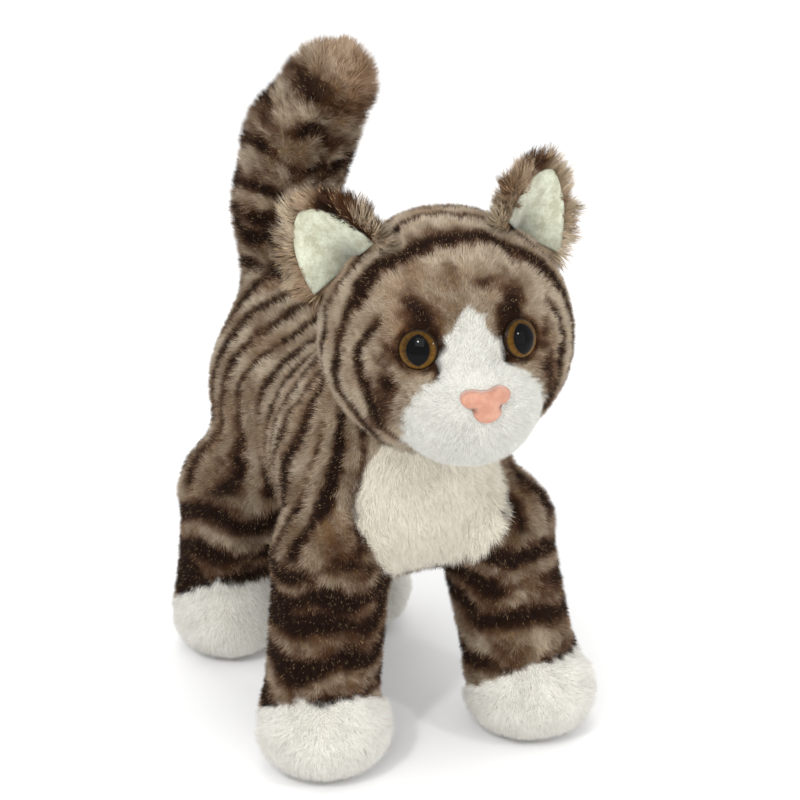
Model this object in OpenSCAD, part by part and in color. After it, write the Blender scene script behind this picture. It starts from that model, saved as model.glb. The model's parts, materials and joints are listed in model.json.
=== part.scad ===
// Standing stuffed toy cat: sewn plush skins over fibre fill, felt ear linings, plastic eyes.
// Millimetres, +Z up, the cat looks along -Y, its left side is +X, paws stand on Z = 0.
// Ten moving bodies: body, neck, head, two ears, tail and four legs.

/* [Fabric] */
// thickness of the plush fabric, backing and pressed pile together
pile = 3; // [2.4:0.1:3.6]
// space left along a sewn seam between two panels
seam = 0.1; // [0.05:0.05:0.3]
// space between two parts that move on each other
play = 0.6; // [0.4:0.1:0.9]

/* [Head] */
// diameter of the head ball
head_d = 75; // [72:1:78]
// height of the middle of the head above the ground
head_z = 136.5; // [133:0.5:140]
// how far the head is sewn on turned to its right, degrees
head_turn = 14; // [8:1:20]
// how far the crown leans to the right, degrees
head_lean = 2; // [0:1:4]
// diameter of the round muzzle
muzzle_d = 40; // [36:1:42]

/* [Ears] */
// widest point of an ear
ear_w = 34; // [28:1:38]
// height of an ear above its root seam
ear_h = 27; // [22:1:32]
// radius of the cupping of an ear
ear_cup = 34; // [28:1:60]

/* [Eyes] */
// diameter of a plastic eye
eye_d = 12; // [10:0.5:13]
// height of the clear dome
dome_h = 3.6; // [3:0.1:4.5]

/* [Body] */
// diameter of the chest
chest_d = 73; // [70:1:76]
// diameter of the rump
rump_d = 65; // [62:1:68]
// distance from the middle of the chest to the middle of the rump
body_l = 62; // [58:1:68]
// height of the middle of the chest above the ground
chest_z = 89; // [87:1:91]

/* [Legs] */
// diameter of a front leg
front_leg_d = 40; // [36:1:41]
// diameter of a rear leg at the hip
hip_d = 42; // [38:1:43]
// diameter of a rear leg at the paw
rear_paw_d = 37; // [34:1:39]
// how far each leg swings forward and back, degrees
leg_swing = 12; // [8:1:14]

/* [Tail] */
// diameter of the tail
tail_d = 32; // [28:1:33]
// how far the tail sways to either side, degrees
tail_sway = 25; // [15:1:28]

/* [Hidden] */
$fn = 64;
front_y = 9.9;              // shift that puts the middle of the toy over the origin
head_r = head_d / 2;
muzzle_r = muzzle_d / 2;
head_c = [7.5, -46 + front_y, head_z];
muzzle_c = [0, -27, -12];
ear_side = 45;              // angle of an ear root away from the crown
ear_roll = -4;              // both ears sit a little to one side
ear_twist = 27;
ear_back_lean = 23;
eye_side = 26.5;            // eye axis away from the middle of the face
eye_lift = 15;
eye_seat = head_r - pile + 0.5;
chest_c = [0, -24 + front_y, chest_z];
rump_c = [0, -24 + body_l + front_y, chest_z + 3];
chest_r = chest_d / 2;
rump_r = rump_d / 2;
tail_pts = [[0, 58, 124], [0, 58, 150], [3, 55, 171], [11, 47, 191]];
tail_rs = [tail_d / 2, tail_d / 2, tail_d / 2 + 0.5, tail_d / 2 - 1];
// each leg: shoulder or hip centre, paw centre, top radius, paw radius, outward side
legs = [
    [[-28, -39, 66], [-35, -46, 14.5], front_leg_d / 2, front_leg_d / 2, -1],
    [[28, -40, 66], [35, -52, 14.5], front_leg_d / 2, front_leg_d / 2, 1],
    [[-27, 37, 58], [-31.5, 41, 13.5], hip_d / 2, rear_paw_d / 2, -1],
    [[22, 37, 58], [16.5, 41, 13.5], hip_d / 2, rear_paw_d / 2, 1],
];
neck_low = head_z - 49;
neck_ball = 12;
neck_foot = 8;
neck_stalk = 6;

// ---------- shared shapes ----------

// round bar from a to b, waisted a little against balls of the same size
module waist(a, b, ra, rb) {
    d = b - a;
    h = norm(d);
    translate(a)
        rotate([0, acos(d[2] / h), atan2(d[1], d[0])])
            cylinder(h = h, r1 = ra * 0.985, r2 = rb * 0.985);
}

// round bar from a to b with ball ends
module limb(a, b, ra, rb) {
    translate(a) sphere(r = ra);
    translate(b) sphere(r = rb);
    waist(a, b, ra, rb);
}

// block on the +X side of the middle plane, for cutting a shape in two
module half_space(side, gap) {
    translate([side > 0 ? gap / 2 : -300 - gap / 2, -150, -150])
        cube([300, 300, 300]);
}

// ---------- body ----------

module body_form(inset) {
    translate(chest_c) sphere(r = chest_r - inset);
    translate(rump_c)
        rotate([90, 0, 0])
            sphere(r = rump_r - inset);
    waist(chest_c, rump_c, chest_r - inset, rump_r - inset);
}

// room that the head, neck, tail and legs take out of the body
module body_room() {
    translate(head_c) sphere(r = head_r + play);
    translate([head_c[0], head_c[1], neck_low]) {
        sphere(r = neck_foot + play);
        cylinder(h = 30, r = neck_stalk + play);
    }
    for (i = [0 : 3])
        translate(leg_top(i)) {
            sphere(r = legs[i][2] + play);
            leg_aim(i) flare(legs[i][2], leg_swing);
        }
    translate(tail_at(0)) {
        sphere(r = tail_rs[0] + play);
        flare(tail_rs[0], tail_sway);
    }
}

// widening mouth that lets a bar of radius r swing by an angle to any side
module flare(r, angle) {
    cylinder(h = 36, r1 = r + play + 0.4, r2 = r + play + 0.4 + 36 * tan(angle));
}

module body_shell() {
    difference() {
        body_form(0);
        body_form(pile);
        body_room();
    }
}

// round front of the chest that carries the cream bib
module bib_zone(grow) {
    translate([0, chest_c[1] - 10, chest_z - 8])
        rotate([90, 0, 0])
            cylinder(h = 60, r = 25 + grow);
}

// strip between the legs
module belly_zone(grow) {
    translate([-15 - grow, -70, 0])
        cube([30 + 2 * grow, 150, chest_z - 14 + grow]);
}

module body_side_panel(side) {
    color([0.42, 0.36, 0.31])
        difference() {
            intersection() {
                body_shell();
                half_space(side, seam);
            }
            bib_zone(seam);
            belly_zone(seam);
        }
}

module body_left_panel() {
    body_side_panel(1);
}

module body_right_panel() {
    body_side_panel(-1);
}

module belly_panel() {
    color([0.45, 0.39, 0.33])
        difference() {
            intersection() {
                body_shell();
                belly_zone(0);
            }
            bib_zone(seam);
        }
}

module chest_bib() {
    color([0.9, 0.87, 0.8])
        intersection() {
            body_shell();
            bib_zone(0);
        }
}

module body_stuffing() {
    color([0.95, 0.95, 0.93])
        difference() {
            body_form(pile + seam);
            body_room();
        }
}

// ---------- neck ----------

module neck_stuffing() {
    color([0.95, 0.95, 0.93])
        union() {
            translate(head_c) sphere(r = neck_ball);
            translate([head_c[0], head_c[1], neck_low]) {
                sphere(r = neck_foot);
                cylinder(h = head_z - neck_low, r = neck_stalk);
            }
        }
}

// ---------- head ----------

module in_head() {
    translate(head_c)
        rotate([0, 0, -head_turn])
            rotate([0, -head_lean, 0])
                children();
}

module head_form(inset) {
    rotate([0, 0, 150])
        sphere(r = head_r - inset);
    translate(muzzle_c) sphere(r = muzzle_r - inset);
}

// room for the neck plug, the ear roots and the eye stems
module head_room() {
    sphere(r = neck_ball + play);
    translate([0, 0, -head_r - 2])
        cylinder(h = head_r, r1 = neck_stalk + play + 8.6, r2 = neck_stalk + play + 1.4);
    for (side = [-1, 1]) {
        at_ear(side)
            translate([-19, 0, 0])
                rotate([0, 90, 0])
                    cylinder(h = 38, r = 4.8);
        at_eye(side) {
            cylinder(h = 12, r = eye_d / 2 + 0.25);
            translate([0, 0, -10])
                cylinder(h = 12, r = 2.15);
        }
    }
}

module head_shell() {
    difference() {
        head_form(0);
        head_form(pile);
        head_room();
    }
}

// white muzzle and chin down to the neck seam, with the blaze running up between the eyes
module muzzle_zone(grow) {
    rotate([90, 0, 0])
        translate([0, 0, 12])
            linear_extrude(height = 50)
                union() {
                    translate([0, muzzle_c[2]]) circle(r = muzzle_r + 1 + grow);
                    translate([-17 - grow, -60]) square([34 + 2 * grow, 50]);
                    polygon([[-10 - grow, 2], [10 + grow, 2], [2 + grow, 19 + grow],
                        [-2 - grow, 19 + grow]]);
                }
}

// lower lip and chin, under the muzzle
module chin_zone(grow) {
    translate([-60, -80, -60])
        cube([120, 100, 60 + muzzle_c[2] - muzzle_r * 0.5 + grow]);
}

// gusset over the forehead, crown and nape
module crown_zone(grow) {
    translate([-13 - grow, -60, 0])
        cube([26 + 2 * grow, 120, 80]);
    translate([-13 - grow, 0, -60])
        cube([26 + 2 * grow, 80, 80]);
}

module head_side_panel(side) {
    color([0.42, 0.36, 0.31])
        in_head()
            difference() {
                intersection() {
                    head_shell();
                    half_space(side, seam);
                }
                muzzle_zone(seam);
                crown_zone(seam);
            }
}

module head_left_panel() {
    head_side_panel(1);
}

module head_right_panel() {
    head_side_panel(-1);
}

module head_crown_panel() {
    color([0.38, 0.32, 0.27])
        in_head()
            difference() {
                intersection() {
                    head_shell();
                    crown_zone(0);
                }
                muzzle_zone(seam);
            }
}

module muzzle_panel() {
    color([0.93, 0.93, 0.93])
        in_head()
            difference() {
                intersection() {
                    head_shell();
                    muzzle_zone(0);
                }
                chin_zone(seam);
            }
}

module chin_panel() {
    color([0.92, 0.92, 0.91])
        in_head()
            intersection() {
                head_shell();
                muzzle_zone(0);
                chin_zone(0);
            }
}

module head_stuffing() {
    color([0.95, 0.95, 0.93])
        in_head()
            difference() {
                head_form(pile + seam);
                head_room();
                for (side = [-1, 1])
                    at_eye(side)
                        translate([0, 0, -10])
                            cylinder(h = 12, r = eye_d / 2);
            }
}

// nose patch: two upper lobes and a small lower one, lying on the muzzle
module nose() {
    color([0.88, 0.58, 0.5])
        in_head()
            translate(muzzle_c)
                rotate([-26, 0, 0])
                    intersection() {
                        difference() {
                            sphere(r = muzzle_r + 1.8);
                            sphere(r = muzzle_r + seam);
                        }
                        rotate([90, 0, 0])
                            linear_extrude(height = 40)
                                union() {
                                    translate([-4, 1.6]) circle(r = 3.7);
                                    translate([4, 1.6]) circle(r = 3.7);
                                    translate([0, -1.8]) circle(r = 4.1);
                                }
                    }
}

// ---------- eyes ----------

// from the middle of the head to the seat of an eye, +Z looking out
module at_eye(side) {
    rotate([90 - eye_lift, 0, side * eye_side])
        translate([0, 0, eye_seat])
            children();
}

// upright oval that the pupil fills
module pupil_outline(grow) {
    intersection() {
        translate([-eye_d * 0.152, 0]) circle(r = eye_d * 0.443 + grow);
        translate([eye_d * 0.152, 0]) circle(r = eye_d * 0.443 + grow);
    }
}

module eye_dome(side) {
    r = (eye_d * eye_d / 4 + dome_h * dome_h) / (2 * dome_h);
    color([0.75, 0.62, 0.35])
        in_head()
            at_eye(side)
                difference() {
                    intersection() {
                        translate([0, 0, 0.8 + dome_h - r]) sphere(r = r);
                        translate([0, 0, 0.8]) cylinder(h = dome_h + 1, r = eye_d);
                    }
                    linear_extrude(height = 1.5) pupil_outline(0.05);
                }
}

module eye_pupil(side) {
    color([0.05, 0.05, 0.05])
        in_head()
            at_eye(side)
                translate([0, 0, 0.85])
                    linear_extrude(height = 0.6)
                        pupil_outline(0);
}

module eye_back(side) {
    color([0.55, 0.4, 0.12])
        in_head()
            at_eye(side)
                union() {
                    cylinder(h = 0.75, r = eye_d / 2);
                    translate([0, 0, -9]) cylinder(h = 9.2, r = 2);
                }
}

module eye_washer(side) {
    color([0.85, 0.85, 0.85])
        in_head()
            at_eye(side)
                translate([0, 0, -2.5])
                    difference() {
                        cylinder(h = 1.2, r = eye_d / 2 - 0.6);
                        translate([0, 0, -1]) cylinder(h = 4, r = 2.02);
                    }
}

module right_eye_dome() {
    eye_dome(-1);
}

module right_eye_pupil() {
    eye_pupil(-1);
}

module right_eye_back() {
    eye_back(-1);
}

module right_eye_washer() {
    eye_washer(-1);
}

module left_eye_dome() {
    eye_dome(1);
}

module left_eye_pupil() {
    eye_pupil(1);
}

module left_eye_back() {
    eye_back(1);
}

module left_eye_washer() {
    eye_washer(1);
}

// ---------- ears ----------

// from the middle of the head to the root seam of an ear, +Z to its tip, -Y its hollow side
module at_ear(side) {
    rotate([0, ear_roll, 0])
        mirror([side < 0 ? 1 : 0, 0, 0])
            rotate([0, ear_side, 0])
                translate([0, 0, head_r - 1])
                    rotate([-ear_back_lean, 0, ear_twist])
                        children();
}

// pointed arch: two arcs meeting at the tip
module ear_outline(inset) {
    z0 = ear_h * 0.26;
    k = ear_w / 2;
    r = (pow(ear_h - z0, 2) + k * k) / ear_w;
    rotate([90, 0, 0])
        translate([0, 0, -20])
            linear_extrude(height = 40)
                intersection() {
                    translate([r - k, z0]) circle(r = r - inset);
                    translate([k - r, z0]) circle(r = r - inset);
                    translate([-40, 1.5 + inset]) square([80, 80]);
                }
}

// curved sheet of a given thickness, hollow towards -Y
module ear_sheet(outer, inner) {
    translate([0, -ear_cup, -5])
        difference() {
            cylinder(h = ear_h + 15, r = ear_cup + outer);
            translate([0, 0, -1]) cylinder(h = ear_h + 17, r = ear_cup + inner);
        }
}

module ear_back(side) {
    color([0.45, 0.37, 0.3])
        in_head()
            at_ear(side)
                union() {
                    intersection() {
                        ear_outline(0);
                        ear_sheet(pile, 0);
                    }
                    translate([-12, 0.8, 0.6])
                        rotate([0, 90, 0])
                            cylinder(h = 24, r = 2.4);
                }
}

module ear_lining(side) {
    color([0.72, 0.74, 0.66])
        in_head()
            at_ear(side)
                difference() {
                    intersection() {
                        ear_outline(2);
                        ear_sheet(-seam, -1.3);
                    }
                    translate([-13, 0.8, 0.6])
                        rotate([0, 90, 0])
                            cylinder(h = 26, r = 2.4 + seam);
                }
}

module right_ear_back() {
    ear_back(-1);
}

module right_ear_lining() {
    ear_lining(-1);
}

module left_ear_back() {
    ear_back(1);
}

module left_ear_lining() {
    ear_lining(1);
}

// ---------- legs ----------

function leg_top(i) = legs[i][0] + [0, front_y, 0];

function leg_paw(i) = legs[i][1] + [0, front_y, 0];

// turn +Z to point down a leg, from the shoulder or hip to the paw
module leg_aim(i) {
    d = leg_paw(i) - leg_top(i);
    rotate([0, acos(d[2] / norm(d)), atan2(d[1], d[0])])
        children();
}

module leg_form(i, inset) {
    limb(leg_top(i), leg_paw(i), legs[i][2] - inset, legs[i][3] - inset);
}

// everything above a level floor
module above(z) {
    translate([-200, -200, z])
        cube([400, 400, 200]);
}

module leg_shell(i) {
    difference() {
        intersection() {
            leg_form(i, 0);
            above(0);
        }
        intersection() {
            leg_form(i, pile);
            above(pile);
        }
    }
}

// front of the foot, under a seam that drops towards the heel
module paw_zone(i, grow) {
    p = leg_paw(i);
    translate([p[0], p[1], p[2] + 7 + grow])
        rotate([-33, 0, 0])
            translate([-45, -45, -90])
                cube([90, 90, 90]);
}

// side of the leg: 1 outward, -1 towards the other leg
module leg_side_zone(i, side) {
    a = leg_top(i);
    d = leg_paw(i) - a;
    translate(a)
        rotate([0, atan2(-d[0], -d[2]), 0])
            half_space(side * legs[i][4], seam);
}

module leg_panel(i, side) {
    color([0.4, 0.34, 0.29])
        difference() {
            intersection() {
                leg_shell(i);
                leg_side_zone(i, side);
            }
            paw_zone(i, seam);
        }
}

module paw(i) {
    color([0.9, 0.88, 0.82])
        intersection() {
            leg_shell(i);
            paw_zone(i, 0);
        }
}

module leg_fill(i) {
    color([0.95, 0.95, 0.93])
        intersection() {
            leg_form(i, pile + seam);
            above(pile + seam);
        }
}

module front_right_leg_outer_panel() {
    leg_panel(0, 1);
}

module front_right_leg_inner_panel() {
    leg_panel(0, -1);
}

module front_right_paw() {
    paw(0);
}

module front_right_leg_stuffing() {
    leg_fill(0);
}

module front_left_leg_outer_panel() {
    leg_panel(1, 1);
}

module front_left_leg_inner_panel() {
    leg_panel(1, -1);
}

module front_left_paw() {
    paw(1);
}

module front_left_leg_stuffing() {
    leg_fill(1);
}

module rear_right_leg_outer_panel() {
    leg_panel(2, 1);
}

module rear_right_leg_inner_panel() {
    leg_panel(2, -1);
}

module rear_right_paw() {
    paw(2);
}

module rear_right_leg_stuffing() {
    leg_fill(2);
}

module rear_left_leg_outer_panel() {
    leg_panel(3, 1);
}

module rear_left_leg_inner_panel() {
    leg_panel(3, -1);
}

module rear_left_paw() {
    paw(3);
}

module rear_left_leg_stuffing() {
    leg_fill(3);
}

// ---------- tail ----------

function tail_at(i) = tail_pts[i] + [0, front_y, 0];

module tail_form(inset) {
    for (i = [0 : 2])
        limb(tail_at(i), tail_at(i + 1), tail_rs[i] - inset, tail_rs[i + 1] - inset);
}

// the tail bends in one upright plane; the seams lie in that plane
module tail_side_zone(side) {
    translate(tail_at(0))
        rotate([0, 0, -45])
            rotate([0, 0, 90])
                half_space(side, seam);
}

module tail_panel(side) {
    color([0.4, 0.34, 0.29])
        intersection() {
            difference() {
                tail_form(0);
                tail_form(pile);
            }
            tail_side_zone(side);
        }
}

module tail_left_panel() {
    tail_panel(1);
}

module tail_right_panel() {
    tail_panel(-1);
}

module tail_stuffing() {
    color([0.95, 0.95, 0.93])
        tail_form(pile + seam);
}

body_left_panel();
body_right_panel();
belly_panel();
chest_bib();
body_stuffing();
neck_stuffing();
head_left_panel();
head_right_panel();
head_crown_panel();
muzzle_panel();
chin_panel();
head_stuffing();
nose();
right_eye_dome();
right_eye_pupil();
right_eye_back();
right_eye_washer();
left_eye_dome();
left_eye_pupil();
left_eye_back();
left_eye_washer();
right_ear_back();
right_ear_lining();
left_ear_back();
left_ear_lining();
front_right_leg_outer_panel();
front_right_leg_inner_panel();
front_right_paw();
front_right_leg_stuffing();
front_left_leg_outer_panel();
front_left_leg_inner_panel();
front_left_paw();
front_left_leg_stuffing();
rear_right_leg_outer_panel();
rear_right_leg_inner_panel();
rear_right_paw();
rear_right_leg_stuffing();
rear_left_leg_outer_panel();
rear_left_leg_inner_panel();
rear_left_paw();
rear_left_leg_stuffing();
tail_left_panel();
tail_right_panel();
tail_stuffing();
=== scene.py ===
"""Looks of the standing plush cat: stuffed skins, pile fabric, felt, plastic eyes and the studio.

Shapes are worked out in millimetres in the row frame and become metres where a mesh is made.
Every skin is a soft blend of round forms, puffed by cloth simulation; the pile is real strands.
"""
import bpy
import json
import math
import numpy as np
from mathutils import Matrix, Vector


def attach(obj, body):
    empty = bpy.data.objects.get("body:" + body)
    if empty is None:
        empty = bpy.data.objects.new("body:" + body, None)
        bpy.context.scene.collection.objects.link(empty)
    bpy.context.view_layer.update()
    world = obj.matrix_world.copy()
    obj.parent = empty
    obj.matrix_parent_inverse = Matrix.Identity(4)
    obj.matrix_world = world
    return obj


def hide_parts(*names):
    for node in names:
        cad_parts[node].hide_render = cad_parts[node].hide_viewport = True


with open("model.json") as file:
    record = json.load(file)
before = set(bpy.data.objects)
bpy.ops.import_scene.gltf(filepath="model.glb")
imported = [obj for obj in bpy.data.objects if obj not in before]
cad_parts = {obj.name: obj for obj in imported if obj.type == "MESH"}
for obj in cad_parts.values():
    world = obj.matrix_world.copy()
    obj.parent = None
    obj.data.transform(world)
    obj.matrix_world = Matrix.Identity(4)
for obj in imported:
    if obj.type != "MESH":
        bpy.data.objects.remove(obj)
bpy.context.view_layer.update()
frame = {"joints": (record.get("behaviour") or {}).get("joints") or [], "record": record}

MM = 0.001
rng = np.random.default_rng(20)

# ---------- places taken from the frame ----------

joints = {j["name"]: j for j in frame["joints"]}
mounts = {m["name"]: m for m in frame["record"]["mounts"]}


def joint_at(name):
    return np.array(joints[name]["pos_m"]) / MM


def unit(v):
    v = np.asarray(v, float)
    return v / np.maximum(np.linalg.norm(v, axis=-1, keepdims=True), 1e-9)


HEAD = joint_at("head_nod")
HEAD_X = unit(joints["head_nod"]["axis"])
HEAD_Y = unit(np.cross([0, 0, 1], HEAD_X))
HEAD_AXES = np.stack([HEAD_X, HEAD_Y, np.cross(HEAD_X, HEAD_Y)], 1)
TAIL_ROOT = joint_at("tail_sway")
LEGS = ["front_right", "front_left", "rear_right", "rear_left"]
LEG_TOP = {n: joint_at(n + "_leg_swing") for n in LEGS}
PAW = {n: np.array(mounts["sole_" + n]["pos_m"]) / MM for n in LEGS}
CHEST = np.array([0, LEG_TOP["front_left"][1] + 16, 90])
RUMP = np.array([0, LEG_TOP["rear_left"][1] + 1, 92])


def to_head(p):
    return (p - HEAD) @ HEAD_AXES


def from_head(q):
    return HEAD + np.asarray(q, float) @ HEAD_AXES.T


# ---------- soft forms: signed distances in millimetres, negative inside ----------

def ellipsoid(p, centre, radii):
    q = (p - np.asarray(centre)) / np.asarray(radii)
    k0 = np.linalg.norm(q, axis=-1)
    k1 = np.maximum(np.linalg.norm(q / np.asarray(radii), axis=-1), 1e-9)
    return k0 * (k0 - 1) / k1


def bar(p, a, b, ra, rb):
    """Round bar from a to b."""
    a, b = np.asarray(a, float), np.asarray(b, float)
    t = np.clip((p - a) @ (b - a) / ((b - a) @ (b - a)), 0, 1)
    return np.linalg.norm(p - a - t[:, None] * (b - a), axis=-1) - (ra + (rb - ra) * t)


def blend_forms(k, *ds):
    """Union with fillets about k millimetres wide."""
    out = ds[0]
    for d in ds[1:]:
        h = np.clip(0.5 + 0.5 * (d - out) / k, 0, 1)
        out = d + (out - d) * h - k * h * (1 - h)
    return out


# on the head, in its own axes: X to its left, -Y where it looks, Z up
MUZZLE = np.array([0, -27.5, -11])
NOSE = np.array([1.2, 0, -4.0])
EYE = np.array([15.4, -31, 9.3])
EYE_RADIUS = 6.0


def head_form(p):
    q = to_head(p)
    skull = ellipsoid(q, [0, 0, 0], [37.5, 34.5, 35.5])
    muzzle = ellipsoid(q, MUZZLE, [20.5, 18, 16])
    chin = ellipsoid(q, MUZZLE + [0, 1, -7], [14, 12, 9])
    bridge = ellipsoid(q, MUZZLE + [0, -3.5, 8], [11, 13.5, 9])
    crown = ellipsoid(q, [0, 3, 6], [33.5, 29, 31.5])
    d = blend_forms(7, blend_forms(6, skull, crown), muzzle)
    return blend_forms(5, d, chin, bridge)


def body_form(p):
    chest = ellipsoid(p, CHEST, [35, 30, 37])
    rump = ellipsoid(p, RUMP, [30.5, 31.5, 33])
    waist = bar(p, CHEST + [0, 5, 2], RUMP, 30, 29)
    neck = bar(p, CHEST + [0, -4, 20], HEAD + [0, 2, -10], 26, 22)
    tail_root = bar(p, TAIL_ROOT - [0, 4, 16], TAIL_ROOT + [0, 0, 2], 17, 13.5)
    d = blend_forms(12, chest, rump, waist)
    d = blend_forms(9, d, tail_root)
    d = blend_forms(6, d, neck)
    for n in LEGS:
        r = 18.5 if n.startswith("front") else 20
        d = blend_forms(6, d, ellipsoid(p, LEG_TOP[n] + [0, 0, 1], [r, r, r]))
    return d


def leg_form(n):
    top, foot = LEG_TOP[n], PAW[n]
    front = n.startswith("front")
    r0, r1 = (17, 16.5) if front else (18.5, 15)
    rx, ry, rz = (19.8, 19.5, 14) if front else (17, 19, 13)
    ankle = foot + [0, 3, 15]
    paw = foot + [0, -1.5, rz]

    def form(p):
        d = blend_forms(6, bar(p, top, ankle, r0, r1), ellipsoid(p, paw, [rx, ry, rz]))
        return np.maximum(d, 0.6 - p[:, 2])
    return form


TAIL_BENDS = ([0, 0, 0], [0, 0.5, 26], [3.5, -3, 47], [12.5, -11, 68])
TAIL_PATH = [TAIL_ROOT + np.array(bend) for bend in TAIL_BENDS]
TAIL_RADII = (13.5, 13.5, 14, 12.5)


def tail_form(p):
    return blend_forms(10, *[bar(p, *TAIL_PATH[i:i + 2], *TAIL_RADII[i:i + 2]) for i in range(3)])


# ---------- meshes ----------

LONGEST_RAY = 95.0
HALVINGS = 26           # of a ray, to find where it crosses a surface


def new_object(name, verts, faces, smooth=True):
    """Object from vertices in millimetres and a list of equal-length index arrays."""
    me = bpy.data.meshes.new(name)
    verts = np.asarray(verts, np.float32) * MM
    me.vertices.add(len(verts))
    me.vertices.foreach_set("co", verts.ravel())
    groups = [np.asarray(f, np.int32) for f in faces if len(f)]
    sizes = np.concatenate([np.full(len(f), f.shape[1], np.int32) for f in groups])
    me.loops.add(int(sizes.sum()))
    me.loops.foreach_set("vertex_index", np.concatenate([f.ravel() for f in groups]))
    me.polygons.add(len(sizes))
    starts = np.concatenate([[0], np.cumsum(sizes)[:-1]]).astype(np.int32)
    me.polygons.foreach_set("loop_start", starts)
    if smooth:
        me.polygons.foreach_set("use_smooth", np.ones(len(sizes), bool))
    me.update(calc_edges=True)
    me.validate()
    ob = bpy.data.objects.new(name, me)
    bpy.context.scene.collection.objects.link(ob)
    return ob


def read_vertices(me, what="co"):
    """One row per vertex, just as the mesh stores it."""
    flat = np.empty(len(me.vertices) * 3, np.float32)
    me.vertices.foreach_get(what, flat)
    return flat.reshape(-1, 3)


def coordinates(ob):
    return read_vertices(ob.data).astype(float) / MM


def store(me, name, values):
    """Keeps a number or a colour per vertex for a material to read."""
    values = np.asarray(values, np.float32)
    if values.ndim == 1:
        me.attributes.new(name, "FLOAT", "POINT").data.foreach_set("value", values)
        return
    rgba = np.ones((len(values), 4), np.float32)
    rgba[:, :3] = values
    me.attributes.new(name, "FLOAT_COLOR", "POINT").data.foreach_set("color", rgba.ravel())


def grid_faces(rows, cols, wrap):
    """Quads of a grid of points, closed round its rows if wrap."""
    i, j = np.meshgrid(np.arange(rows - 1), np.arange(cols if wrap else cols - 1), indexing="ij")
    i, j = i.ravel(), j.ravel()
    k = (j + 1) % cols
    return np.stack([i * cols + j, i * cols + k, (i + 1) * cols + k, (i + 1) * cols + j], 1)


def cap(ring, centre, flip=False):
    """Triangles from a ring of points to the point that closes it."""
    ahead = np.roll(ring, -1)
    a, b = (ahead, ring) if flip else (ring, ahead)
    return np.stack([np.full(len(ring), centre), a, b], 1)


def capped_grid(rows, cols):
    """Faces of a closed grid with a point at each end, stored after the grid's own points."""
    n = rows * cols
    ends = [cap(np.arange(cols), n, flip=True), cap(np.arange(n - cols, n), n + 1)]
    return [grid_faces(rows, cols, True), np.concatenate(ends)]


def reach(count, longest, holds):
    """How far along each of count rays a test still holds."""
    lo, hi = np.zeros(count), np.full(count, longest)
    for _ in range(HALVINGS):
        mid = (lo + hi) / 2
        held = holds(mid)
        lo, hi = np.where(held, mid, lo), np.where(held, hi, mid)
    return lo


def shrink_to(form, origins, dirs):
    """Where rays from inside a form leave it."""
    far = reach(len(dirs), LONGEST_RAY, lambda t: form(origins + dirs * t[:, None]) < 0)
    return origins + dirs * far[:, None]


def skin(name, form, a, b, rows=46, cols=52):
    """Closed skin of a form that can be seen whole from the line a to b."""
    a, b = np.asarray(a, float), np.asarray(b, float)
    w = unit(b - a)
    e1 = unit(np.cross(w, [0.31, 0.52, 0.79]))      # any direction that is not w
    e2 = np.cross(w, e1)
    th = np.linspace(0, math.pi, rows + 2)[1:-1]
    ph = np.linspace(0, 2 * math.pi, cols, endpoint=False)
    th, ph = [v.ravel() for v in np.meshgrid(th, ph, indexing="ij")]
    th, ph = np.concatenate([th, [0, math.pi]]), np.concatenate([ph, [0, 0]])
    dirs = (-np.cos(th)[:, None] * w + np.sin(th)[:, None]
            * (np.cos(ph)[:, None] * e1 + np.sin(ph)[:, None] * e2))
    origins = a + (b - a) * ((1 - np.cos(th)) / 2)[:, None]
    return new_object(name, shrink_to(form, origins, dirs), capped_grid(rows, cols))


def baked(ob):
    """Puts what the modifiers make into the mesh and takes them off."""
    me = bpy.data.meshes.new_from_object(ob.evaluated_get(bpy.context.evaluated_depsgraph_get()))
    ob.modifiers.clear()
    ob.data = me


SEAM_DEPTH, SEAM_WIDTH = 1.3, 2.2
CLOTH_FRAMES = 20
UNBOUNDED = -1e3


def stuff(ob, seam_of, most=2.6, voxel=4.5, pressure=4.0, low=UNBOUNDED):
    """Cloth under pressure: the seams hold, and the fabric between them crowns by up to most."""
    remesh = ob.modifiers.new("even", "REMESH")
    remesh.mode = "VOXEL"
    remesh.voxel_size = voxel * MM
    baked(ob)
    rest = coordinates(ob)
    near = seam_of(rest)
    held = ob.vertex_groups.new(name="seams")
    for i, w in enumerate(np.clip(1.3 - near / (voxel * 0.9), 0, 1)):
        held.add([i], float(w), "REPLACE")
    cloth = ob.modifiers.new("stuffing", "CLOTH")
    cloth.settings.quality = 5
    cloth.settings.mass = 0.2
    cloth.settings.tension_stiffness = 12
    cloth.settings.compression_stiffness = 12
    cloth.settings.bending_stiffness = 0.4
    cloth.settings.use_pressure = True
    cloth.settings.uniform_pressure_force = pressure
    cloth.settings.vertex_group_mass = "seams"
    cloth.settings.effector_weights.gravity = 0
    cloth.point_cache.frame_start = 1
    cloth.point_cache.frame_end = CLOTH_FRAMES
    for f in range(1, CLOTH_FRAMES + 1):
        bpy.context.scene.frame_set(f)
    baked(ob)
    move = coordinates(ob) - rest
    far = np.linalg.norm(move, axis=1, keepdims=True)
    rest = rest + move * np.minimum(1, most / np.maximum(far, 1e-6))
    bpy.context.scene.frame_set(1)
    ob.vertex_groups.clear()
    rest[:, 2] = np.maximum(rest[:, 2], low)
    ob.data.vertices.foreach_set("co", (rest * MM).astype(np.float32).ravel())
    ob.modifiers.new("round", "SUBSURF").levels = 1
    baked(ob)
    co = coordinates(ob)
    sink = SEAM_DEPTH * np.exp(-(seam_of(co) / SEAM_WIDTH) ** 2)
    co -= read_vertices(ob.data, "normal") * sink[:, None]
    co[:, 2] = np.maximum(co[:, 2], low)
    ob.data.vertices.foreach_set("co", (co * MM).astype(np.float32).ravel())
    ob.data.polygons.foreach_set("use_smooth", np.ones(len(ob.data.polygons), bool))
    ob.data.update()


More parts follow.
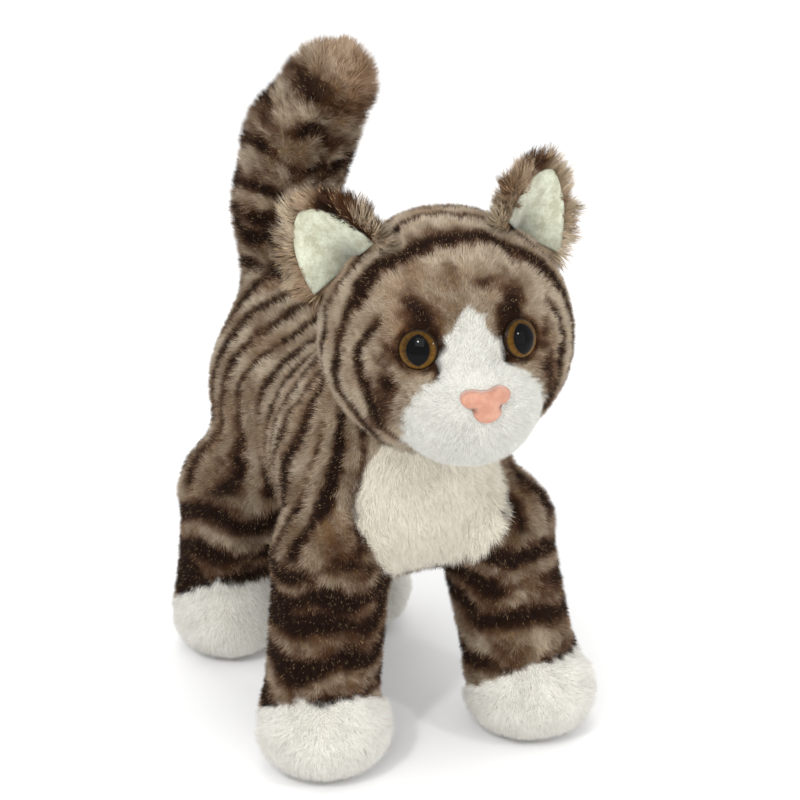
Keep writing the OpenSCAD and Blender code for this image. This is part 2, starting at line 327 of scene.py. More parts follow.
def mesh_arrays(ob):
    """Corner positions and normals of every triangle, in millimetres."""
    me = ob.data
    me.calc_loop_triangles()
    tri = np.empty(len(me.loop_triangles) * 3, np.int32)
    me.loop_triangles.foreach_get("vertices", tri)
    tri = tri.reshape(-1, 3)
    return coordinates(ob)[tri], read_vertices(me, "normal")[tri].astype(float)


def scatter(ob, per_mm2):
    """Random points and normals all over a mesh."""
    co, no = mesh_arrays(ob)
    area = np.linalg.norm(np.cross(co[:, 1] - co[:, 0], co[:, 2] - co[:, 0]), axis=1) / 2
    count = int(area.sum() * per_mm2)
    pick = rng.choice(len(area), count, p=area / area.sum())
    r1, r2 = np.sqrt(rng.random(count)), rng.random(count)
    w = np.stack([1 - r1, r1 * (1 - r2), r1 * r2], 1)[:, :, None]
    return (co[pick] * w).sum(1), unit((no[pick] * w).sum(1))


def waves(p, length, seed, terms=6):
    """Smooth noise of about that wavelength, mostly between -1 and 1."""
    r = np.random.default_rng(seed)
    k = unit(r.normal(size=(terms, 3))) * (2 * math.pi / length) * r.uniform(0.6, 1.5, (terms, 1))
    return np.sin(p @ k.T + r.uniform(0, 2 * math.pi, terms)).sum(1) / math.sqrt(terms / 1.2)


def bump(x, centre, width):
    return np.exp(-((x - centre) / width) ** 2)


def step(x, a, b):
    t = np.clip((x - a) / (b - a), 0, 1)
    return t * t * (3 - 2 * t)


# ---------- colours ----------

def srgb(r, g, b):
    c = np.array([r, g, b]) / 255
    return np.where(c <= 0.04045, c / 12.92, ((c + 0.055) / 1.055) ** 2.4)


GREY = srgb(134, 109, 80)
FROST = srgb(194, 174, 145)
WARM = srgb(146, 102, 58)
BROWN = srgb(98, 62, 34)
DARK = srgb(40, 21, 10)
WHITE = srgb(236, 235, 227)
CREAM = srgb(244, 237, 220)
PAW_CREAM = srgb(253, 250, 241)
# colour of the painted highlights, glints, at the tips of lit strands
GLINT_GOLD = srgb(240, 204, 150)


def mix(a, b, t):
    return a + (b - a) * np.asarray(t)[:, None]


def tabby(p, dark, frost=0.0):
    """Striped pile: dark runs 0 to 1, warm brown shows where it fades."""
    n = 0.5 + 0.5 * waves(p, 11, 3)
    col = mix(np.tile(GREY, (len(p), 1)), FROST, np.clip(0.25 + 0.75 * n + frost, 0, 1))
    col = mix(col, WARM, np.clip(0.35 * waves(p, 17, 5), 0, 0.4))
    d = np.clip(dark + 0.10 * waves(p, 4, 9), 0, 1)
    col = mix(col, BROWN, step(d, 0.08, 0.6))
    return mix(col, DARK, step(d, 0.38, 0.95))


def near_eye(q):
    return np.minimum(np.linalg.norm(q - EYE, axis=1),
                      np.linalg.norm(q - EYE * [-1, 1, 1], axis=1))


def head_colour(p):
    q = to_head(p)
    d = unit(q)
    # degrees back from the nose, and degrees round from the crown
    theta = np.degrees(np.arccos(np.clip(-d[:, 1], -1, 1)))
    side = np.abs(np.degrees(np.arctan2(d[:, 0], d[:, 2])))
    t = theta + 2.2 * waves(q, 26, 11) + 1.0 * waves(q, 9, 12)
    # dark rings, each so many degrees back; the first shows on the cheeks only
    cheek = step(side, 50, 68)
    dark = 0.95 * bump(t, 54, 3.3) * cheek * step(175 - side, 0, 40)
    dark += 1.1 * bump(t, 72, 6.2 - 2.3 * cheek)
    dark += 0.9 * bump(t, 89, 2.6)
    for centre in (105, 120, 136, 152):
        dark += 0.9 * bump(t, centre, 3.2)
    dark *= 0.95 + 0.2 * waves(q, 18, 13)
    # brows above the inner corners, shade beside the eyes, a streak down each muzzle edge
    x, z = np.abs(q[:, 0]), q[:, 2]
    front = step(-q[:, 1], 8, 16)
    brow = np.exp(-((x - 13.5 - 0.25 * (z - 18)) / 4.4) ** 2 - ((z - 17.5) / 5.5) ** 2)
    inner = np.exp(-((x - 9.0) / 2.4) ** 2 - ((z - 4) / 5.5) ** 2)
    outer = np.exp(-((x - 23.5) / 2.8) ** 2 - ((z - 7) / 8) ** 2)
    # dark fur round each eye, deepened by painted shade where the eye sits deep in the pile
    rim = bump(near_eye(q), 6.3, 1.5)
    streak = np.exp(-((x - 23.5 + 0.12 * (z + 2)) / 3.0) ** 2)
    streak *= step(-z, -4, 2) * step(z, -26, -14)
    dash = np.exp(-((z - 24 - 0.1 * q[:, 0]) / 1.6) ** 2 - ((q[:, 0] - 7) / 6) ** 2)
    dash += np.exp(-((z - 29) / 1.4) ** 2 - ((q[:, 0] + 3) / 5) ** 2) * 0.6
    face = front * (0.95 * brow + 0.9 * inner + 0.55 * outer + 0.7 * streak + 0.5 * dash
                    + 0.8 * rim)
    forehead = front * step(45 - side, 0, 15) * step(60 - theta, 0, 14)
    col = tabby(p, dark + face + 0.13 * forehead, 0.2 - 0.5 * forehead)
    white = muzzle_white(q)
    return mix(col, WHITE, white), white


def mask_edge(q):
    """Distance outside the white of the muzzle, which is sewn on a little off centre."""
    z = q[:, 2] + 14
    return np.hypot(q[:, 0] - 1.3, z * np.where(z > 0, 1.09, 0.98)) - 20.8


def muzzle_white(q):
    """1 on the white muzzle and blaze."""
    x, z = np.abs(q[:, 0]), q[:, 2]
    edge = 0.7 * waves(q, 5, 21)
    muzzle = step(edge - mask_edge(q), -0.7, 0.7) * step(-q[:, 1], 6, 9)
    half = 9.8 * np.clip((20.5 - z) / 14, 0, 1) ** 0.85
    blaze = step(half + edge - x, -0.6, 0.6) * step(z, -8, -6) * step(20.6 - z, 0, 0.5)
    return np.clip(muzzle + blaze * step(-q[:, 1], 6, 9), 0, 1)


# place along the body from the chest backwards, width and strength of each stripe; those with
# a place below 0 run up the front of the shoulders
BODY_STRIPES = (
    (-42, 2.5, 1.0), (-27, 1.9, 0.9), (-17, 3.1, 1.25), (-7.5, 1.5, 0.6), (1.5, 3.0, 1.25),
    (11, 2.0, 1.05), (20.5, 2.3, 1.1), (30.5, 2.0, 1.05), (40.5, 2.3, 1.1), (50.5, 2.1, 1.0),
    (61, 2.6, 1.05), (72, 2.6, 1.0), (84, 2.8, 1.0), (96, 2.8, 1.0))


def body_tabby(p):
    """Upright stripes on the body, duller low down."""
    x, y, z = p.T
    along = y - CHEST[1]
    round_chest = -33 * np.arctan2(np.maximum(-along, 0), np.maximum(np.abs(x), 3))
    lean = 10 * ((z - 60) / 60) ** 2 * step(along, -22, 4)
    s = np.where(along < 0, round_chest, along) + lean
    s = s + 1.6 * waves(p, 34, 31) + 0.7 * waves(p, 9, 32)
    dark = np.zeros(len(p))
    for k, (centre, width, strength) in enumerate(BODY_STRIPES):
        dark += strength * bump(s, centre, width) * (0.9 + 0.25 * waves(p, 22, 40 + k))
    low = step(z, 100, 74)
    return tabby(p, dark + 0.13 * low, -0.1 - 0.3 * low)


def bib_edge(x, z):
    """Above 0 outside the oval bib."""
    return np.hypot((x - 1) / 25, (z - 86) / 26.5) - 1


# height of each dark band over the sole
LEG_BANDS = {"front_right": (72, 61, 52.5, 41, 28), "front_left": (65, 54, 43, 26),
             "rear_right": (57, 43, 34, 26), "rear_left": (58, 44, 34, 25)}


def leg_tabby(n, p):
    """Bands across a leg."""
    q = p - PAW[n]
    out = 1 if n.endswith("left") else -1
    z = q[:, 2] + 2.0 * waves(p, 24, 61 + len(n)) + 0.12 * q[:, 0] * out
    dark = np.zeros(len(p))
    for k, centre in enumerate(LEG_BANDS[n]):
        dark += bump(z, centre, 3.9) * (1.0 + 0.35 * waves(p, 20, 70 + k))
    dark += 0.15 + 0.14 * waves(p, 13, 77)
    return tabby(p, dark, -0.3)


def leg_colour(n):
    front = n.startswith("front")
    lean = (0.2 if front else 0.05) * (1 if n.endswith("left") else -1)

    def colour(p):
        q = p - PAW[n]
        above = step(p[:, 2], 70, 73) if front else step(p[:, 2], 62, 66)
        col = mix(leg_tabby(n, p), body_tabby(p), above)
        seam_z = (21.5 if front else 22.5) - 0.65 * q[:, 1] + lean * q[:, 0]
        seam_z = np.minimum(seam_z, 28 if front else 31)
        paw = step(seam_z - q[:, 2] + 0.7 * waves(p, 5, 81), -0.8, 0.8)
        return mix(col, PAW_CREAM, paw), paw
    return colour


def body_colour(p):
    x, y, z = p.T
    col = body_tabby(p)
    for n in LEGS:
        front = n.startswith("front")
        down = np.clip((LEG_TOP[n][2] - z) / LEG_TOP[n][2], 0, 1)[:, None]
        axis = LEG_TOP[n] + (PAW[n] - LEG_TOP[n]) * down
        near = step(np.linalg.norm((p - axis)[:, :2], axis=1), 27, 23)
        low = step(z, 73, 70) if front else step(z, 66, 62)
        col = mix(col, leg_tabby(n, p), near * low)
    edge = 0.04 * waves(p, 5, 51)
    bib = step(edge - bib_edge(x, z), -0.04, 0.04) * step(CHEST[1] - 6 - y, -2, 2)
    return mix(col, CREAM, bib), bib


TAIL_BANDS = (3, 17, 31, 43, 56, 70)        # height of each dark band over the tail's root


def tail_colour(p):
    q = p - TAIL_ROOT
    s = q[:, 2] * 0.95 + 0.25 * q[:, 0] - 0.3 * q[:, 1] * step(q[:, 2], 25, 60)
    s = s + 2.2 * waves(p, 20, 91) + 0.9 * waves(p, 8, 92)
    dark = np.zeros(len(p))
    for k, centre in enumerate(TAIL_BANDS):
        dark += bump(s, centre, 4.0) * (0.85 + 0.3 * waves(p, 17, 95 + k))
    dark += 0.06 + 0.14 * waves(p, 12, 93)
    tip = step(s, 60, 76) * step(q[:, 0] - 8, -10, 8)
    col = tabby(p, dark * (1 - 0.5 * tip), -0.1)
    return mix(col, WARM * 1.4, 0.5 * tip), np.zeros(len(p))


# ---------- seams: distance to the nearest one, in millimetres ----------

FAR = 99.0              # where there is no seam


def head_seams(p):
    q = to_head(p)
    x, y, z = np.abs(q[:, 0]), q[:, 1], q[:, 2]
    crown = np.where((z > 0) & (y > -24), np.abs(x - 13 - 0.1 * z), FAR)
    nape = np.where((y > 20) & (z < 6), x, FAR)
    mask = np.where(y < -14, np.abs(mask_edge(q)), FAR)
    return np.minimum(np.minimum(crown, nape), np.where(z < 9, mask, FAR))


def body_seams(p):
    x, y, z = p.T
    spine = np.where(z > 96, np.abs(x), FAR)
    belly = np.where(z < 80, np.abs(np.abs(x) - 12), FAR)
    bib = np.where(y < CHEST[1] - 6, np.abs(bib_edge(x, z)) * 26, FAR)
    return np.minimum(np.minimum(spine, belly), bib)


def leg_seams(n):
    top, foot = LEG_TOP[n], PAW[n]
    front = n.startswith("front")

    def seams(p):
        t = np.clip((top[2] - p[:, 2]) / top[2], 0, 1)
        x = np.abs(p[:, 0] - top[0] - (foot[0] - top[0]) * t)
        q = p - foot
        edge = (20.5 if front else 18.5) - 0.65 * q[:, 1]
        return np.minimum(np.where(q[:, 2] > edge, x, FAR), np.abs(q[:, 2] - edge) * 0.85)
    return seams


def tail_seams(p):
    bend = np.interp(p[:, 2], [q[2] for q in TAIL_PATH], [q[0] for q in TAIL_PATH])
    return np.abs(p[:, 0] - bend)


# ---------- materials ----------

def material(name, **constants):
    m = bpy.data.materials.new(name)
    m.use_nodes = True
    nt = m.node_tree
    shader = nt.nodes["Principled BSDF"]
    for key, value in constants.items():
        shader.inputs[key.replace("_", " ")].default_value = value
    return m, nt, shader


def add(nt, kind, **values):
    node = nt.nodes.new(kind)
    for key, value in values.items():
        setattr(node, key, value)
    return node


def attribute(nt, name, output="Fac"):
    return add(nt, "ShaderNodeAttribute", attribute_name=name).outputs[output]


def noise_of(nt, scale, detail=2.0):
    """Noise laid out in the piece's own metres, so its grain is the same on every piece."""
    place = add(nt, "ShaderNodeTexCoord")
    tex = add(nt, "ShaderNodeTexNoise")
    tex.inputs["Scale"].default_value = scale
    tex.inputs["Detail"].default_value = detail
    nt.links.new(place.outputs["Object"], tex.inputs["Vector"])
    return tex.outputs["Fac"]


def mapped(nt, value, low, high, start=0.0, end=1.0):
    """A value between start and end, mapped to low and high."""
    node = add(nt, "ShaderNodeMapRange")
    limits = {"From Min": start, "From Max": end, "To Min": low, "To Max": high}
    for key, limit in limits.items():
        node.inputs[key].default_value = limit
    nt.links.new(value, node.inputs["Value"])
    return node.outputs["Result"]


def times(nt, a, b):
    node = add(nt, "ShaderNodeMath", operation="MULTIPLY")
    nt.links.new(a, node.inputs[0])
    nt.links.new(b, node.inputs[1])
    return node.outputs["Value"]


def scaled(nt, colour, factor):
    """A colour made darker or lighter."""
    node = add(nt, "ShaderNodeVectorMath", operation="SCALE")
    nt.links.new(colour, node.inputs[0])
    nt.links.new(factor, node.inputs["Scale"])
    return node.outputs["Vector"]


def mixed(nt, a, b, factor):
    """From a to b: b is a constant colour, and a is one or another node's output."""
    node = add(nt, "ShaderNodeMix", data_type="RGBA")
    if isinstance(a, bpy.types.NodeSocket):
        nt.links.new(a, node.inputs["A"])
    else:
        node.inputs["A"].default_value = (*a, 1)
    node.inputs["B"].default_value = (*b, 1)
    nt.links.new(factor, node.inputs["Factor"])
    return node.outputs["Result"]


def roughen(nt, shader, height, strength):
    """Bump a third of a millimetre deep."""
    node = add(nt, "ShaderNodeBump")
    node.inputs["Strength"].default_value = strength
    node.inputs["Distance"].default_value = 0.0003
    nt.links.new(height, node.inputs["Height"])
    nt.links.new(node.outputs["Normal"], shader.inputs["Normal"])


def pile_material(name, root_shade, sheen):
    """Pile: each strand has its own colour, is darker at its root as painted shade deep in the
    pile, and may have a painted highlight at its tip.
    """
    m, nt, sh = material(name, Roughness=0.5, Sheen_Weight=sheen, Sheen_Roughness=0.4,
                         Specular_IOR_Level=0.06)
    along = attribute(nt, "pile_tip")
    uneven = mapped(nt, noise_of(nt, 700), 0.82, 1.18)
    # painted shade: each strand darkens towards its root, deep in the pile
    shade = times(nt, mapped(nt, along, root_shade, 1.08), uneven)
    strand = scaled(nt, attribute(nt, "pile_colour", "Color"), shade)
    # painted highlight: the tip of a lit strand turns gold, a glint
    glint = times(nt, mapped(nt, along, 0, 1, 0.68, 0.76), attribute(nt, "pile_lit"))
    nt.links.new(mixed(nt, strand, GLINT_GOLD, glint), sh.inputs["Base Color"])
    return m


def painted_material(name, paint, scale, low, high, **constants):
    """Colours painted on the vertices, made uneven."""
    m, nt, sh = material(name, **constants)
    shade = mapped(nt, noise_of(nt, scale), low, high)
    nt.links.new(scaled(nt, attribute(nt, paint, "Color"), shade), sh.inputs["Base Color"])
    return m


def felt_material(name, base, blotch, from_low, fibre_scale=2600.0):
    """Pressed felt: matted fibres with soft blotches, and painted shade where it is folded in or
    dented.
    """
    m, nt, sh = material(name, Roughness=0.9, Sheen_Weight=0.35, Sheen_Roughness=0.5,
                         Specular_IOR_Level=0.15)
    fine = noise_of(nt, fibre_scale, 6)
    total = add(nt, "ShaderNodeMath", operation="MULTIPLY_ADD")
    total.inputs[1].default_value = 0.6
    nt.links.new(fine, total.inputs[0])
    nt.links.new(noise_of(nt, 330), total.inputs[2])
    contrast = mapped(nt, total.outputs["Value"], 0, 1, from_low, 0.98)
    felt = scaled(nt, mixed(nt, base, blotch, contrast), attribute(nt, "felt_shade"))
    nt.links.new(felt, sh.inputs["Base Color"])
    roughen(nt, sh, fine, 0.9)
    return m


def hidden_material(name, dark, light, scale, roughness):
    """Uneven plain material of a part inside the toy."""
    m, nt, sh = material(name, Roughness=roughness)
    grain = noise_of(nt, scale, 5)
    nt.links.new(mixed(nt, dark, light, grain), sh.inputs["Base Color"])
    roughen(nt, sh, grain, 1.0)
    return m


# ---------- pile ----------

def surface_uv(p, centre, axes):
    """Round-the-form coordinates of a point, 0 to 1, for the baked copy of a pile."""
    q = (p - centre) @ axes
    r = np.linalg.norm(q, axis=1)
    u = np.arctan2(q[:, 0], -q[:, 1]) / (2 * math.pi) + 0.5
    v = np.arccos(np.clip(q[:, 2] / np.maximum(r, 1e-6), -1, 1)) / math.pi
    return np.stack([0.01 + 0.97 * u, 0.01 + 0.97 * v], 1)


FROSTED_TIP = np.array([1, 0.96, 0.9])
# the lit tips are painted highlights
LIT_STRANDS = 0.05      # share of the tabby strands that have a lit tip
THIRD = 2.0944          # of a turn
TO_CORNER = 0.577       # from the middle of a strand to its corners, for a width of 1
SUNK = 0.3              # a strand starts this far under its skin
LOWEST = 0.1            # the floor is at 0


def pile(name, roots, normals, comb, length, colour, mat, width=0.17, stand=1.0, jitter=0.2,
         centre=(0, 0, 90), axes=np.eye(3), clump=0.34, bent=False, frost=0.3):
    """Pile as one mesh: each strand is a slim three-sided spike, bent once where it is long."""
    count = len(roots)
    length = length * rng.uniform(0.78, 1.12, count)
    comb = unit(comb - normals * (comb * normals).sum(1, keepdims=True))
    # neighbours lean alike, in tufts and in wider locks
    tuft = np.stack([waves(roots, 3.4, s) for s in (101, 102, 103)], 1)
    lock = np.stack([waves(roots, 10.0, s) for s in (104, 105, 106)], 1)
    wander = clump * tuft + 0.2 * lock + jitter * rng.normal(size=(count, 3))
    up = np.clip(stand + 0.12 * rng.normal(size=count), 0.25, 1.4)[:, None]
    first = unit(normals * (up + (0.2 if bent else 0)) + comb * 0.45 + 0.8 * wander)
    first = unit(first + normals * np.maximum(0, 0.3 - (first * normals).sum(1, keepdims=True)))
    side = unit(np.cross(first, rng.normal(size=(count, 3))))
    other = np.cross(first, side)
    corner = [unit(side * math.cos(a) + other * math.sin(a)) for a in (0, THIRD, 2 * THIRD)]
    half = (width * TO_CORNER * rng.uniform(0.75, 1.25, count))[:, None]
    base = roots - normals * SUNK
    rings = [np.stack([base + c * half for c in corner], 1)]
    # shading normals lean towards the skin's, so that the pile shades as one soft surface
    shade = [np.stack([0.62 * normals + 0.38 * c for c in corner], 1)]
    tip_at = base + first * length[:, None]
    last = first
    if bent:
        last = unit(normals * up * 0.7 + comb * 0.9 + wander)
        last = unit(last + normals * np.maximum(0, 0.1 - (last * normals).sum(1, keepdims=True)))
        mid = base + first * (length * 0.5)[:, None]
        rings.append(np.stack([mid + c * half * 0.8 for c in corner], 1))
        shade.append(shade[0])
        tip_at = mid + last * (length * 0.55)[:, None]
    verts = np.concatenate(rings + [tip_at[:, None]], 1)
    shade.append((0.75 * normals + 0.25 * last + 0.12 * rng.normal(size=(count, 3)))[:, None])
    shade = unit(np.concatenate(shade, 1))
    per = verts.shape[1]
    k = per * np.arange(count)[:, None]
    top = per - 4
    quads = [k + [i, (i + 1) % 3, 3 + (i + 1) % 3, 3 + i] for i in range(3)] if bent else []
    tris = [k + [top + i, top + (i + 1) % 3, per - 1] for i in range(3)]
    verts = verts.reshape(-1, 3)
    verts[:, 2] = np.maximum(verts[:, 2], LOWEST)
    ob = new_object(name, verts, quads + tris)
    me = ob.data
    me.normals_split_custom_set_from_vertices(shade.reshape(-1, 3).tolist())
    colour = colour * rng.uniform(0.80, 1.16, (count, 1))
    bright = colour.max(1, keepdims=True)
    shown = np.repeat(colour[:, None], per, 1)
    shown[:, -1] += (FROSTED_TIP - colour) * frost * np.clip(bright * 1.6, 0, 1)
    lit = rng.random(count) < (LIT_STRANDS if frost else 0)
    store(me, "pile_colour", shown.reshape(-1, 3))
    store(me, "pile_tip", np.tile([0, 0, 0] + ([0.55] * 3 if bent else []) + [1], count))
    store(me, "pile_lit", np.repeat(lit, per))
    uv = surface_uv(roots, np.asarray(centre, float), axes)
    spot = [[0, 0], [1, 0], [2, 0]] + ([[0, 1], [1, 1], [2, 1]] if bent else []) + [[1, 2]]
    spread = (uv[:, None, :] + 0.001 * np.array(spot)[None]).astype(np.float32).reshape(-1, 2)
    order = np.concatenate([f.ravel() for f in quads + tris])
    me.uv_layers.new(name="OFBake").data.foreach_set("uv", spread[order].ravel())
    me.materials.append(mat)
    return ob


def paint_skin(ob, colour_of):
    store(ob.data, "skin_colour", colour_of(coordinates(ob))[0])


def finish_piece(ob, body, nodes=()):
    """The body a piece rides on and the CAD nodes it stands for."""
    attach(ob, body)
    if nodes:
        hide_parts(*nodes)


# ---------- build the skins ----------

# painted shade under the pile: the backing takes the pile's colours at half to four fifths of
# their brightness, unevenly
BACKING = painted_material("plush_backing", "skin_colour", 1400, 0.5, 0.8, Roughness=0.95,
                           Specular_IOR_Level=0.1)
TABBY_PILE = pile_material("tabby_pile", 0.52, 0.0)
WHITE_PILE = pile_material("white_pile", 0.92, 0.1)
CREAM_PILE = pile_material("cream_pile", 0.95, 0.1)


def make_skin(name, form, a, b, colour_of, seam_of, body, nodes, low=UNBOUNDED, **size):
    ob = skin(name, form, a, b, **size)
    stuff(ob, seam_of, low=low)
    ob.data.materials.append(BACKING)
    paint_skin(ob, colour_of)
    finish_piece(ob, body, nodes)
    return ob


head_skin = make_skin(
    "head_skin", head_form, HEAD + [0, 2, 0], from_head([0, -12, -4]), head_colour, head_seams,
    "head",
    ["head_left_panel", "head_right_panel", "head_crown_panel", "muzzle_panel", "chin_panel",
     "head_stuffing"])
body_skin = make_skin(
    "body_skin", body_form, CHEST + [0, 4, 0], RUMP - [0, 6, 0], body_colour, body_seams,
    "torso",
    ["body_left_panel", "body_right_panel", "belly_panel", "chest_bib", "body_stuffing"],
    rows=64, cols=60)
leg_skins = {}
for leg in LEGS:
    leg_skins[leg] = make_skin(
        leg + "_leg_skin", leg_form(leg), LEG_TOP[leg], PAW[leg] + [0, 0, 14], leg_colour(leg),
        leg_seams(leg), leg + "_leg",
        [leg + "_leg_outer_panel", leg + "_leg_inner_panel", leg + "_paw", leg + "_leg_stuffing"],
        rows=40, cols=40, low=0.4)
tail_skin = make_skin(
    "tail_skin", tail_form, TAIL_PATH[0], TAIL_PATH[3], tail_colour, tail_seams, "tail",
    ["tail_left_panel", "tail_right_panel", "tail_stuffing"], rows=44, cols=40)

# ---------- grow the pile ----------

DENSITY = 8.0        # strands in a square millimetre


def grow(name, ob, colour_of, comb_of, length_of, keep, mat, body, slot, **style):
    """Pile on a skin where keep holds. colour_of also says where the fabric is the pale one."""
    roots, normals = scatter(ob, style.pop("density", DENSITY))
    colour, pale = colour_of(roots)
    hold = keep(roots, pale)
    roots, normals, colour, pale = roots[hold], normals[hold], colour[hold], pale[hold]
    if mat is not TABBY_PILE:
        style.setdefault("frost", 0)
    fur = pile(name, roots, normals, comb_of(roots, normals), length_of(roots, normals), colour,
               mat, **style)
    finish_piece(fur, body)
    return fur


def head_comb(p, n):
    """The pile lies back from the nose and away from the eyes."""
    q = to_head(p)
    away = unit(q - [0, -46, -4]) + [0, 0, -0.25]
    eye = np.where(q[:, :1] > 0, EYE, EYE * [-1, 1, 1])
    r = near_eye(q)
    away = away + unit(q - eye) * (2.5 * bump(r, 6, 4))[:, None]
    return away @ HEAD_AXES.T


def head_length(p, n):
    """Shorter round the eyes and the nose."""
    q = to_head(p)
    white = muzzle_white(q)
    base = 2.6 - 0.1 * white + 0.3 * step(q[:, 1], -10, 15)
    nose = np.linalg.norm(q - [0, -44, -4], axis=1)
    return base * (0.4 + 0.6 * step(near_eye(q), 6.0, 11)) * (0.55 + 0.45 * step(nose, 6, 12))


def clear_of_face(p):
    """Off the eyes and the nose, and not deep inside the neck."""
    q = to_head(p)
    nose = np.hypot((q[:, 0] - NOSE[0]) / 6.3, (q[:, 2] - NOSE[2]) / 4.4)
    on_nose = (nose < 1) & (q[:, 1] < -30)
    neck = body_form(p) < -5
    return (near_eye(q) > EYE_RADIUS - 0.1) & ~on_nose & ~neck


def body_comb(p, n):
    front = step(CHEST[1] - 5 - p[:, 1], 0, 12)[:, None]
    return np.array([0, 0.75, -0.65]) * (1 - front) + np.array([0, 0, -1.0]) * front


def body_length(p, n):
    return 3.2 + 1.2 * body_colour(p)[1]


def body_keep(p):
    """Not deep inside the head, a leg or the tail."""
    hidden = head_form(p) < -4
    for n in LEGS:
        hidden |= leg_form(n)(p) < -3.5
    return ~hidden & (tail_form(p) > -3.5)


MID = (CHEST + RUMP) / 2 + [0, 8.5, 0]      # gives the four patches of the body like shares
HEAD_STYLE = dict(centre=HEAD, axes=HEAD_AXES)
head_args = (head_skin, head_colour, head_comb, head_length)
QUARTERS = [(side, end, "%s_%s" % (left, front)) for side, left in ((1, "left"), (-1, "right"))
            for end, front in ((1, "front"), (-1, "rear"))]


def quarter(q, side, end):
    """Points of one of the four patches that a long pile is made in."""
    return (q[:, 0] * side >= 0) & (q[:, 1] * end < 0)


for side, end, name in QUARTERS:
    grow("head_%s_pile" % name, *head_args,
         lambda p, w: clear_of_face(p) & (w < 0.5) & quarter(to_head(p), side, end), TABBY_PILE,
         "head", "tabby_plush", density=DENSITY * 1.5, width=0.155, **HEAD_STYLE)
grow("muzzle_pile", *head_args, lambda p, w: clear_of_face(p) & (w >= 0.5), WHITE_PILE, "head",
     "white_plush", density=DENSITY * 1.8, width=0.14, clump=0.1, jitter=0.18, stand=0.8,
     **HEAD_STYLE)
body_args = (body_skin, body_colour, body_comb, body_length)
for side, end, name in QUARTERS:
    grow("body_%s_pile" % name, *body_args,
         lambda p, w: body_keep(p) & (w < 0.5) & quarter(p - MID, side, end), TABBY_PILE,
         "torso", "tabby_plush", centre=(0, 5, 90))
grow("bib_pile", *body_args, lambda p, w: body_keep(p) & (w >= 0.5), CREAM_PILE, "torso",
     "cream_plush", density=DENSITY * 1.2, centre=(0, 5, 90), stand=0.6, clump=0.12, jitter=0.14)


def leg_comb(p, n):
    return np.tile([0.0, -0.25, -1.0], (len(p), 1))


def leg_keep(p):
    """Not deep inside the body, nor on the sole."""
    return (body_form(p) > -4) & (p[:, 2] > 1.2)


for leg in LEGS:
    args = (leg_skins[leg], leg_colour(leg), leg_comb)
    grow(leg + "_leg_pile", *args, lambda p, n: 2.8, lambda p, w: leg_keep(p) & (w < 0.5),
         TABBY_PILE, leg + "_leg", "tabby_plush", centre=LEG_TOP[leg] - [0, 0, 25])
    grow(leg + "_paw_pile", *args, lambda p, n: 2.6 + 1.2 * step(p[:, 2], 2, 8),
         lambda p, w: leg_keep(p) & (w >= 0.5), CREAM_PILE, leg + "_leg", "cream_plush",
         density=DENSITY * 1.2, clump=0.12, stand=0.8, centre=PAW[leg] + [0, 0, 14])

grow("tail_pile", tail_skin, tail_colour, lambda p, n: np.tile([0.15, -0.1, 1.0], (len(p), 1)),
     lambda p, n: 4.2 + 1.4 * step(p[:, 2], 165, 195), lambda p, w: body_form(p) > -4, TABBY_PILE,
     "tail", "tabby_plush", centre=TAIL_PATH[1])

# ---------- ears ----------

SIDES = ((-1, "right"), (1, "left"))
EAR_W, EAR_H, EAR_CUP = 34.0, 27.0, 34.0    # across, up, and the radius it is cupped to
EAR_SIDE, EAR_ROLL, EAR_TWIST, EAR_LEAN = 45, -4, 27, -23       # degrees
EAR_OUT = 36.5                              # from the head's centre to the ear's root
FELT_ROOT, FELT_TIP, FELT_HALF, FELT_THICK = 2.4, 23.8, 13.6, 0.9


def turn(axis, degrees):
    a = math.radians(degrees)
    c, s = math.cos(a), math.sin(a)
    i, j = [(1, 2), (2, 0), (0, 1)]["xyz".index(axis)]
    m = np.eye(3)
    m[i, i] = m[j, j] = c
    m[i, j], m[j, i] = -s, s
    return m


def ear_place(side):
    """Origin and axes of an ear in the row frame: X across, -Y its hollow side, Z to its tip."""
    out = turn("y", EAR_ROLL) @ np.diag([side, 1, 1]) @ turn("y", EAR_SIDE)
    axes = HEAD_AXES @ out @ turn("z", EAR_TWIST) @ turn("x", EAR_LEAN)
    return from_head(out @ [0, 0, EAR_OUT]), axes


def ear_half(z):
    """Half width of the ear's arch at a height."""
    widest = EAR_H * 0.26
    r = ((EAR_H - widest) ** 2 + (EAR_W / 2) ** 2) / EAR_W
    return np.sqrt(np.maximum(r ** 2 - (z - widest) ** 2, 0)) - (r - EAR_W / 2)


def felt_half(z):
    """Half width of the felt lining, more pointed than the ear."""
    t = np.clip(z / FELT_TIP, 0, 1)
    return FELT_HALF * np.maximum(1 - t ** 2.1, 0) ** 0.66


def ear_front(x, z):
    """Where the hollow side of the ear's back is, with the fold pinched in at its root."""
    fold = 5.0 * np.exp(-(x / 5.5) ** 2) * np.clip(1 - z / 18, 0, 1) ** 1.2
    return np.sqrt(EAR_CUP ** 2 - x ** 2) - EAR_CUP + fold


def ear_back_points(rows=15, cols=40):
    z = np.linspace(-1.0, 1.0, rows)
    z = EAR_H * 0.985 * np.sin((z * 0.5 + 0.5) * math.pi / 2) - 0.5
    phi = np.linspace(0, 2 * math.pi, cols, endpoint=False)
    z, phi = np.meshgrid(z, phi, indexing="ij")
    half = np.maximum(ear_half(z), 0.6)
    thick = 2.1 * np.clip(1.1 - (z / EAR_H) ** 3, 0.3, 1)
    x = half * np.cos(phi)
    y = ear_front(x, z) + thick * (1 + np.sin(phi)) + 0.3
    return np.stack([x, y, z], -1)


def to_row(side, pts):
    origin, axes = ear_place(side)
    return origin + pts.reshape(-1, 3) @ axes.T


